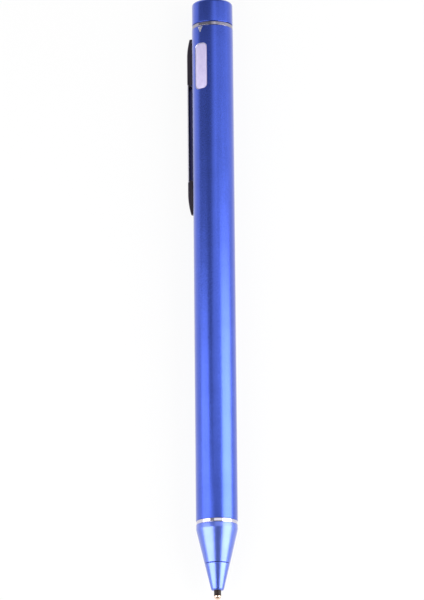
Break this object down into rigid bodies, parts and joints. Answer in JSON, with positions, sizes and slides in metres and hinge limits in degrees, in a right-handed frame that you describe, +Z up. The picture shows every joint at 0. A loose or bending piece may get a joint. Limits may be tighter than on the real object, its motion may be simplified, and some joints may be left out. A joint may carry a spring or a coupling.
{
  "type": "active stylus pen",
  "caption": "Slim round stylus pen with a fine domed nib, two-part cone, pocket clip, window button and a pull-off cap over its charging port.",
  "frame": {"origin": "on the table under the middle of the pen's length and width, as it lies on its barrel and clip", "axes": "+Y along the pen from the nib to the cap, +Z up from the table"},
  "size_m": [0.0102, 0.1324, 0.009],
  "materials": {
    "satin_blue": "satin blue anodising, fine blasted grain",
    "bright_blue": "bright turned blue anodising",
    "bright_ring": "polished",
    "dark_chrome": "dark polished plating",
    "window_plastic": "translucent, frosted",
    "copper": "turned copper",
    "sleeve_black": "matt",
    "brass": "turned",
    "spring_steel": "plain",
    "white_moulding": "moulded",
    "black_moulding": "moulded",
    "plunger_white": "moulded",
    "board_green": "solder mask",
    "ferrite": "sintered",
    "ceramic": "fired",
    "can_metal": "plain",
    "cell_wrap": "foil wrap",
    "foam": "foam",
    "red_insulation": "smooth",
    "black_insulation": "smooth",
    "white_insulation": "smooth"
  },
  "bodies": {
    "pen": {"nose_cone": "bright_blue", "threaded_bushing": "brass", "contact_spring": "spring_steel", "contact_cup": "brass", "front_carrier": "white_moulding", "lower_ring": "bright_ring", "barrel": "satin_blue", "upper_ring": "bright_ring", "clip_anchor": "spring_steel", "tact_switch": "black_moulding", "indicator_led": "plunger_white", "usb_shell": "spring_steel", "usb_tongue": "black_moulding", "usb_contacts": "brass", "port_housing": "black_moulding", "main_board": "board_green", "drive_ic": "black_moulding", "charge_ic": "black_moulding", "clock_crystal": "can_metal", "boost_inductor": "ferrite", "board_capacitors": "ceramic", "inner_frame": "white_moulding", "battery_cell": "cell_wrap", "battery_guard": "board_green", "battery_pads": "foam", "battery_lead_red": "red_insulation", "battery_lead_black": "black_insulation", "drive_lead": "white_insulation"},
    "cap": {"end_cap": "satin_blue", "cap_liner": "white_moulding"},
    "tip": {"nose_tip": "bright_blue", "nib_sleeve": "sleeve_black", "nib": "copper"},
    "button": {"power_button": "window_plastic", "switch_plunger": "plunger_white"},
    "clip": {"pocket_clip": "dark_chrome"}
  },
  "joints": [
    {"name": "cap_pull", "type": "slide", "parent": "pen", "child": "cap", "axis": [0, 1, 0], "range_m": [0, 0.012]},
    {"name": "tip_unscrew", "type": "slide", "parent": "pen", "child": "tip", "axis": [0, -1, 0], "range_m": [0, 0.006]},
    {"name": "button_press", "type": "slide", "parent": "pen", "child": "button", "axis": [0.5979, 0, -0.8016], "range_m": [0, 0.00025], "stiffness_N_per_m": 6000},
    {"name": "clip_flex", "type": "hinge", "parent": "pen", "child": "clip", "pos_m": [-0.00319, 0.05815, 0.002], "axis": [0.5551, 0, -0.8318], "range_deg": [0, 2.5], "stiffness_Nm_per_rad": 2}
  ]
}
